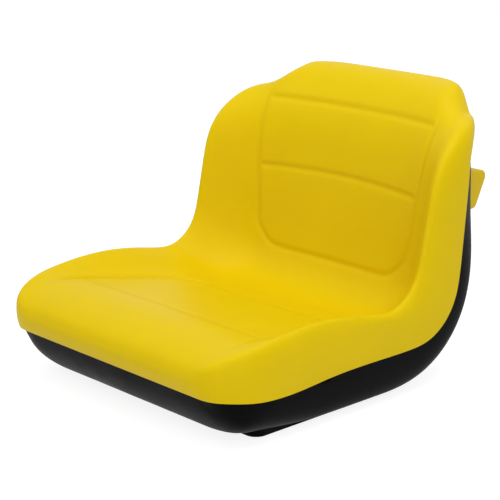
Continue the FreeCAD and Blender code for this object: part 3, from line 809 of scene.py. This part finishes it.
VINYL = Finish(
    "yellow_vinyl",
    low=(0.735, 0.523, 0.0),
    high=(0.755, 0.541, 0.0),
    rough=(0.44, 0.50),
    grain_scale=900.0,
    grain_depth=0.7,
    bump=0.12,
    specular=0.09,
    # Painted shade in the panel lines.
    groove_shade=(0.715, 0.50, 0.0),
)
PAN_PLASTIC = Finish(
    "black_moulded_plastic",
    low=(0.0014, 0.0014, 0.0018),
    high=(0.0024, 0.0024, 0.0030),
    rough=(0.40, 0.50),
    grain_scale=1300.0,
    grain_depth=0.35,
    bump=0.3,
    specular=0.035,
)
HANDLE_PLASTIC = Finish(
    "yellow_moulded_plastic",
    low=(0.70, 0.475, 0.0),
    high=(0.73, 0.50, 0.0),
    rough=(0.38, 0.46),
    grain_scale=1700.0,
    grain_depth=0.2,
    bump=0.12,
    specular=0.2,
)
ZINC = Finish(
    "zinc_plated_steel",
    low=(0.50, 0.50, 0.49),
    high=(0.66, 0.66, 0.67),
    rough=(0.28, 0.42),
    grain_scale=600.0,
    grain_depth=0.1,
    bump=0.1,
    mottle_scale=60.0,
    metal=1.0,
)


class Piece:
    """A shown piece: its object and its finish."""

    SAME_POINT = 1e-9  # points nearer than this, in metres, are one
    EVEN_ANGLE = 6.0  # edges flatter than this, in degrees, are turned for even shading
    FACE_WEIGHT = 100  # how far the larger faces lead the shading
    USUAL_ANGLE = 35.0  # faces at less than this, in degrees, are shaded as one surface
    PAN_ANGLE = 22.0  # the same for the pan, whose ribs are low

    @staticmethod
    def smooth_shade(obj: bpy.types.Object, angle: float) -> None:
        """Shades a piece smoothly.

        Args:
            obj: the piece.
            angle: faces at less than this angle are shaded as one surface, in degrees.
        """
        bpy.ops.object.select_all(action="DESELECT")
        obj.select_set(True)
        bpy.context.view_layer.objects.active = obj
        bpy.ops.object.shade_smooth_by_angle(angle=math.radians(angle))

    @staticmethod
    def from_node(node: str, name: str, angle: float = USUAL_ANGLE) -> bpy.types.Object:
        """A merged and smoothly shaded copy of a CAD node, which it replaces.

        Args:
            node: the CAD node's name.
            name: the new piece's name.
            angle: faces at less than this angle are shaded as one surface, in degrees.

        Returns:
            The new piece.
        """
        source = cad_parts[node]
        mesh = source.data.copy()
        mesh.materials.clear()
        obj = bpy.data.objects.new(name, mesh)
        bpy.context.scene.collection.objects.link(obj)
        work = bmesh.new()
        work.from_mesh(mesh)
        bmesh.ops.remove_doubles(work, verts=work.verts, dist=Piece.SAME_POINT)
        limit = math.radians(Piece.EVEN_ANGLE)
        paired = [edge for edge in work.edges if len(edge.link_faces) == 2]
        near_flat = [edge for edge in paired if edge.calc_face_angle() < limit]
        bmesh.ops.beautify_fill(work, faces=work.faces, edges=near_flat, method="ANGLE")
        work.to_mesh(mesh)
        work.free()
        Piece.smooth_shade(obj, angle)
        shading = obj.modifiers.new("even_shading", "WEIGHTED_NORMAL")
        shading.weight = Piece.FACE_WEIGHT
        shading.keep_sharp = True
        bpy.ops.object.modifier_apply(modifier=shading.name)
        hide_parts(node)
        return obj

    @staticmethod
    def dress(obj: bpy.types.Object, material: bpy.types.Material, slot: Slot) -> bpy.types.Object:
        """Gives a piece its material, and lets it ride on the seat.

        Args:
            obj: the piece.
            material: its material.
            slot: not used.

        Returns:
            The same piece.
        """
        obj.data.materials.clear()
        obj.data.materials.append(material)
        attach(obj, "root")
        LOG.info("%s: %d faces", obj.name, len(obj.data.polygons))
        return obj


@dataclass
class Cushion:
    """The moulded cushion: upper skin with pressed panel lines, rolled hem and foam underside."""

    form: CushionForm
    pan: PanForm
    # Steps along and across, and the reach and gain of closer steps at panel lines and flanks.
    rows_count: int = 312
    columns_count: int = 240
    middle_steps: int = 2000
    row_crowding: tuple[float, float] = (14.0, 1.6)
    column_crowding: tuple[float, float] = (24.0, 0.8)
    flank_poles: tuple[int, int] = (-9, -5)
    # Skirt, rolled hem and underside.
    skirt_steps: int = 8
    skirt_end: float = 0.92
    hem_steps: int = 4
    hem_round: float = 1.6
    under_step: int = 4
    under_inset: float = 0.004
    base_top: float = 40.0
    boss_gap: float = 1.0
    shade_angle: float = 60.0
    # Width and depth of the panel lines, and how softly the long ones end.
    seat_groove: tuple[float, float] = (8.0, 1.0)
    bolster_groove: tuple[float, float] = (5.0, 4.0)
    back_groove: tuple[float, float] = (4.8, 2.1)
    long_fade: float = 30.0
    bolster_fade: float = 50.0
    # Panel lines: seat lines as (x, y) and back lines as (x, z), from the middle outwards.
    seat_cross: tuple = ((0.0, -92.0), (189.0, -92.0))
    seat_rear: tuple = ((0.0, 81.0), (98.0, 83.0), (130.0, 81.0), (151.0, 66.0))
    seat_side_end: tuple = ((165.0, 30.0), (178.0, -20.0), (191.0, -92.0), (194.0, -160.0))
    back_long: tuple = (
        (0.0, 134.0),
        (96.0, 134.0),
        (122.0, 138.0),
        (141.0, 152.0),
        (152.0, 172.0),
        (160.0, 240.0),
        (167.0, 322.0),
        (172.0, 376.0),
    )
    back_low: tuple = ((0.0, 258.0), (160.0, 254.0))
    back_high: tuple = ((0.0, 356.0), (166.0, 356.0))
    # Limits of y and z within which seat lines and back lines are pressed.
    seat_zone: tuple[float, float] = (150.0, 175.0)
    back_zone: tuple[float, float] = (130.0, 112.0)
    points: list = field(default_factory=list)
    faces: list = field(default_factory=list)

    def lines(self) -> list[PanelLine]:
        """The panel lines of seat and back.

        Returns:
            The lines, each over the full width or on one side.
        """
        left = self.seat_rear[1:] + self.seat_side_end
        right = tuple((-x, y) for x, y in left)
        return [
            PanelLine(both_sides(self.seat_rear), Plane.PLAN, *self.seat_groove, self.long_fade),
            PanelLine(left, Plane.PLAN, *self.bolster_groove, self.bolster_fade),
            PanelLine(right, Plane.PLAN, *self.bolster_groove, self.bolster_fade),
            PanelLine(both_sides(self.seat_cross), Plane.PLAN, *self.seat_groove),
            PanelLine(both_sides(self.back_long), Plane.FRONT, *self.back_groove, self.long_fade),
            PanelLine(both_sides(self.back_high), Plane.FRONT, *self.back_groove),
            PanelLine(both_sides(self.back_low), Plane.FRONT, *self.back_groove),
        ]

    def crossings(self, middle: np.ndarray) -> np.ndarray:
        """Points of the middle line where panel lines cross it.

        Args:
            middle: close points along the middle line.

        Returns:
            The points at the crossings.
        """
        limit = self.seat_zone[0]
        seat, back = middle[middle[:, 1] < limit], middle[middle[:, 1] > limit]
        found = [seat[np.abs(seat[:, 1] - line[0][1]).argmin()] for line in (self.seat_cross, self.seat_rear)]
        for line in (self.back_long, self.back_low, self.back_high):
            found.append(back[np.abs(back[:, 2] - line[0][1]).argmin()])
        return np.array(found)

    def pressed(self, skin: np.ndarray) -> tuple[np.ndarray, np.ndarray]:
        """Presses the panel lines into the upper skin, and tells where painted shade darkens them.

        Args:
            skin: grid of points.

        Returns:
            The pressed grid, and how deep in a line each point lies, from 0 to 1, which sets the painted
            shade in the lines.
        """
        along, across = np.gradient(skin, axis=0), np.gradient(skin, axis=1)
        normals = unit(np.cross(across, along))
        depth, shade_mask = np.zeros(skin.shape[:2]), np.zeros(skin.shape[:2])
        for line in self.lines():
            if line.plane is Plane.PLAN:
                zone = (skin[..., 1] < self.seat_zone[0]) & (skin[..., 2] < self.seat_zone[1])
            else:
                zone = (skin[..., 1] > self.back_zone[0]) & (skin[..., 2] > self.back_zone[1])
            gap, force = line.measure(skin[zone][:, line.plane.value])
            press = force * np.exp(-((gap / line.width) ** 2))
            depth[zone] = np.maximum(depth[zone], line.depth * press)
            # How much painted shade darkens each point in a line.
            shade_mask[zone] = np.maximum(shade_mask[zone], press**2)
        return skin - normals * depth[..., None], shade_mask

    def band(self, first: np.ndarray, second: np.ndarray) -> None:
        """Adds the faces between two loops of point numbers."""
        for a, b, c, d in zip(first, np.roll(first, -1), np.roll(second, -1), second):
            self.faces.append((a, b, c, d))

    def number(self, points: np.ndarray) -> np.ndarray:
        """Adds points to the mesh.

        Args:
            points: a loop or a grid of points.

        Returns:
            Their numbers, laid out as the points are.
        """
        start = len(self.points)
        self.points.extend(points.reshape(-1, 3).tolist())
        return np.arange(start, start + points.size // 3).reshape(points.shape[:-1])

    def grid(self, numbers: np.ndarray, turned: bool) -> None:
        """Adds the faces over a grid.

        Args:
            numbers: the grid's point numbers.
            turned: whether the faces look the other way.
        """
        corners = (numbers[:-1, :-1], numbers[:-1, 1:], numbers[1:, 1:], numbers[1:, :-1])
        quads = np.stack(corners[::-1] if turned else corners, -1).reshape(-1, 4)
        self.faces.extend(map(tuple, quads.tolist()))

    @staticmethod
    def border(numbers: np.ndarray) -> np.ndarray:
        """The numbers round a grid, in the order of a ring's loop."""
        return np.concatenate([numbers[0], numbers[1:, -1], numbers[-1, -2::-1], numbers[-2:0:-1, 0]])

    def underside(self, rows: np.ndarray, us: np.ndarray, vs: np.ndarray) -> np.ndarray:
        """Points of the foam's underside, with room for bosses, switch and screws.

        Args:
            rows: poles of the underside.
            us: places along.
            vs: places across.

        Returns:
            A coarse grid of points.
        """
        step, inset = self.under_step, self.under_inset
        skin = net(rows, np.clip(us[::step], inset, 1.0 - inset), np.clip(vs[::step], inset, 1.0 - inset))
        x, y, z = np.abs(skin[..., 0]), skin[..., 1], skin[..., 2]
        low = z < self.base_top
        bolt_x, bolt_y = self.pan.bolts
        near_bolt = low & (np.hypot(x - bolt_x, np.abs(y) - bolt_y) < self.pan.boss_reach)
        skin[near_bolt, 2] = np.maximum(z[near_bolt], self.pan.boss_top + self.boss_gap)
        near_switch = low & (np.hypot(x, y - self.pan.switch_y) < self.pan.boss_reach)
        skin[near_switch, 2] = np.maximum(z[near_switch], self.pan.switch_top)
        for screw_z in self.pan.screw_zs:
            near_screw = ~low & (np.hypot(x - self.pan.screw_x, z - screw_z) < self.pan.screw_reach)
            skin[near_screw, 1] -= self.pan.screw_room
        return skin

    def build(self) -> bpy.types.Object:
        """Models the cushion.

        Returns:
            The new piece.
        """
        rows = self.form.rows()
        full = np.array([mirrored(row) for row in rows])
        middle = net(rows, np.linspace(0.0, 1.0, self.middle_steps + 1), np.array([0.5]))[:, 0]
        middle_poles, mean_row = full[:, full.shape[1] // 2], full.mean(0)
        us = close_places(middle_poles, self.rows_count, self.crossings(middle), *self.row_crowding)
        flanks = mean_row[slice(*self.flank_poles)]
        flanks = np.concatenate([flanks, flanks * MIRROR])
        vs = close_places(mean_row, self.columns_count, flanks, *self.column_crowding)
        edge = Ring(rows[0], rows[-1], rows[:, -1])
        hem = self.form.hem_ring(edge)
        bulge = self.form.bulge(rows, edge, hem)
        outward, down = self.form.outward(), edge.towards(hem)
        rim = hem.moved(outward, -self.pan.rim_inset).moved(down, self.pan.rim_gap)
        inner_rim = rim.moved(outward, -self.pan.wall)
        ledge = inner_rim.moved(outward, -self.pan.foam_gap).moved(down, -self.pan.rim_gap)
        pan_inside = self.pan.inset(self.pan.rows(rim, self.form), inner_rim, self.pan.wall)
        foam = self.pan.inset(pan_inside, ledge, self.pan.foam_gap)

        skin, shade_mask = self.pressed(net(rows, us, vs))
        numbers = self.number(skin)
        self.grid(numbers, turned=False)
        loop = self.border(numbers)
        edge_loop, bulge_loop, hem_loop = (ring.loop(us, vs) for ring in (edge, bulge, hem))
        out_loop = unit(outward.loop(us, vs))
        fall = unit(hem_loop - bulge_loop)
        loops = []
        for t in np.linspace(0.0, self.skirt_end, self.skirt_steps + 1)[1:]:
            loops.append(edge_loop * (1.0 - t) ** 2 + bulge_loop * (2.0 * t * (1.0 - t)) + hem_loop * t**2)
        r = self.hem_round
        centre = hem_loop - (fall + out_loop) * r
        for angle in np.linspace(0.0, math.pi / 2.0, self.hem_steps + 1):
            loops.append(centre + out_loop * (r * math.cos(angle)) + fall * (r * math.sin(angle)))
        loops.append(ledge.loop(us, vs))
        for points in loops:
            following = self.number(points)
            self.band(following, loop)
            loop = following
        under = self.number(self.underside(foam, us, vs))
        self.grid(under, turned=True)
        self.close(loop, self.border(under))
        return self.finish(shade_mask)

    def close(self, fine: np.ndarray, coarse: np.ndarray) -> None:
        """Adds the faces between the hem and the underside.

        Args:
            fine: point numbers of the hem's last loop.
            coarse: point numbers round the underside.
        """
        step = self.under_step
        for i, a in enumerate(coarse):
            b = coarse[(i + 1) % len(coarse)]
            run = [fine[(i * step + m) % len(fine)] for m in range(step + 1)]
            middle = step // 2
            for m in range(step):
                self.faces.append((run[m + 1], run[m], a if m < middle else b))
            self.faces.append((a, b, run[middle]))

    def finish(self, shade_mask: np.ndarray) -> bpy.types.Object:
        """Makes the object from the gathered points and faces.

        Args:
            shade_mask: painted shade in the panel lines, as how deep in a line each point of the upper skin
                lies, from 0 to 1.

        Returns:
            The new piece.
        """
        mesh = bpy.data.meshes.new("cushion_skin")
        mesh.from_pydata((np.array(self.points) * MM).tolist(), [], self.faces)
        obj = bpy.data.objects.new("cushion_skin", mesh)
        bpy.context.scene.collection.objects.link(obj)
        # Painted shade in the panel lines, which the vinyl's colour reads.
        groove_shade = mesh.attributes.new("groove_shade", "FLOAT", "POINT")
        values = np.zeros(len(self.points), np.float32)
        values[: shade_mask.size] = shade_mask.ravel()
        groove_shade.data.foreach_set("value", values)
        work = bmesh.new()
        work.from_mesh(mesh)
        bmesh.ops.recalc_face_normals(work, faces=work.faces)
        work.to_mesh(mesh)
        work.free()
        Piece.smooth_shade(obj, self.shade_angle)
        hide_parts("seat_cushion")
        return obj


@dataclass(frozen=True)
class PhotoCamera:
    """The camera at the photograph's place, in metres."""

    place: tuple[float, float, float] = (1.581386, -1.414667, 0.780914)
    target: tuple[float, float, float] = (0.0, 0.06, 0.179)
    lens: float = 113.8
    sensor: float = 36.0

    def build(self) -> None:
        """Adds the camera and makes it the scene's."""
        data = bpy.data.cameras.new("photo_camera")
        data.lens, data.sensor_width = self.lens, self.sensor
        camera = bpy.data.objects.new("photo_camera", data)
        bpy.context.scene.collection.objects.link(camera)
        camera.location = self.place
        aim = Vector(self.target) - Vector(self.place)
        camera.rotation_euler = aim.to_track_quat("-Z", "Y").to_euler()
        bpy.context.scene.camera = camera


@dataclass(frozen=True)
class Softbox:
    """A square studio lamp: where it stands, what it faces and how bright it is."""

    name: str
    place: tuple[float, float, float]
    size: float
    watts: float
    target: tuple[float, float, float] = (0.0, 0.05, 0.18)

    def build(self) -> None:
        """Adds the lamp."""
        data = bpy.data.lights.new(self.name, "AREA")
        data.size, data.energy = self.size, self.watts
        lamp = bpy.data.objects.new(self.name, data)
        bpy.context.scene.collection.objects.link(lamp)
        lamp.location = self.place
        lamp.rotation_euler = (Vector(self.target) - Vector(self.place)).to_track_quat("-Z", "Y").to_euler()


@dataclass(frozen=True)
class Studio:
    """White room: world, floor and soft lamps."""

    white: tuple[float, float, float, float] = (1.0, 1.0, 1.0, 1.0)
    room_light: float = 0.435
    floor_z: float = -0.0005
    floor_size: float = 40.0
    floor_white: float = 0.86
    floor_glow: float = 1.43
    shadow_share: float = 0.4
    lamps: tuple[Softbox, ...] = (
        Softbox("key_box", (-1.1, -1.7, 2.7), 1.8, 17.0),
        Softbox("fill_box", (2.3, -1.2, 1.3), 2.2, 18.5),
        Softbox("top_box", (0.4, 0.1, 2.6), 2.0, 33.5),
    )

    @staticmethod
    def seen(nodes: NodeTree) -> bpy.types.NodeSocket:
        """Tells the rays that show the background: those of the camera, of gloss and through glass.

        Args:
            nodes: the tree of the world or the floor.

        Returns:
            A value that is 1 for such rays and 0 for others.
        """
        path = nodes.add("ShaderNodeLightPath")
        total = path.outputs["Is Camera Ray"]
        for name in ("Is Glossy Ray", "Is Transmission Ray"):
            add = nodes.add("ShaderNodeMath", operation="ADD", use_clamp=True)
            nodes.join(total, add.inputs[0])
            nodes.join(path.outputs[name], add.inputs[1])
            total = add.outputs[0]
        return total

    def world(self) -> None:
        """White behind the object, and an even soft light from all round."""
        world = bpy.data.worlds.new("white_room")
        world.use_nodes = True
        bpy.context.scene.world = world
        world.node_tree.nodes.clear()
        nodes = NodeTree(world.node_tree)
        light = nodes.add("ShaderNodeBackground", Color=self.white, Strength=self.room_light)
        white = nodes.add("ShaderNodeBackground", Color=self.white, Strength=1.0)
        mixed = nodes.add("ShaderNodeMixShader")
        out = nodes.add("ShaderNodeOutputWorld")
        nodes.join(self.seen(nodes), mixed.inputs[0])
        nodes.join(light.outputs[0], mixed.inputs[1])
        nodes.join(white.outputs[0], mixed.inputs[2])
        nodes.join(mixed.outputs[0], out.inputs["Surface"])

    def floor(self) -> None:
        """A white floor that keeps a pale shadow."""
        bpy.ops.object.select_all(action="DESELECT")
        bpy.ops.mesh.primitive_plane_add(size=self.floor_size, location=(0.0, 0.0, self.floor_z))
        floor = bpy.context.object
        floor.name = "studio_floor"
        made = bpy.data.materials.new("studio_white")
        made.use_nodes = True
        made.node_tree.nodes.clear()
        nodes = NodeTree(made.node_tree)
        lit = nodes.add("ShaderNodeBsdfDiffuse", Color=(self.floor_white,) * 3 + (1.0,))
        glow = nodes.add("ShaderNodeEmission", Color=self.white, Strength=self.floor_glow)
        share = nodes.add("ShaderNodeMath", operation="MULTIPLY")
        share.inputs[1].default_value = 1.0 - self.shadow_share
        mixed = nodes.add("ShaderNodeMixShader")
        out = nodes.add("ShaderNodeOutputMaterial")
        nodes.join(self.seen(nodes), share.inputs[0])
        nodes.join(share.outputs[0], mixed.inputs[0])
        nodes.join(lit.outputs[0], mixed.inputs[1])
        nodes.join(glow.outputs[0], mixed.inputs[2])
        nodes.join(mixed.outputs[0], out.inputs["Surface"])
        floor.data.materials.append(made)

    def build(self) -> None:
        """Sets up the room and its lamps."""
        self.world()
        self.floor()
        for lamp in self.lamps:
            lamp.build()
        bpy.context.scene.view_settings.view_transform = "Standard"


def main() -> None:
    """Builds the seat, its finishes, the room and the camera."""
    logging.basicConfig(level=logging.INFO, format="%(name)s: %(message)s")
    PhotoCamera().build()
    Studio().build()
    Effects.build()
    vinyl, plastic = VINYL.material(), PAN_PLASTIC.material()
    yellow, zinc = HANDLE_PLASTIC.material(), ZINC.material()
    Piece.dress(Cushion(CushionForm(), PanForm()).build(), vinyl, Slot.VINYL)
    Piece.dress(Piece.from_node("seat_pan", "pan_shell", Piece.PAN_ANGLE), plastic, Slot.PAN)
    Piece.dress(Piece.from_node("lift_handle", "handle_lip"), yellow, Slot.HANDLE)
    Piece.dress(Piece.from_node("handle_screws", "handle_screw_set"), zinc, Slot.SCREW)
    Piece.dress(Piece.from_node("mount_inserts", "mount_insert_set"), zinc, Slot.INSERT)


if __name__ == "__main__":
    main()
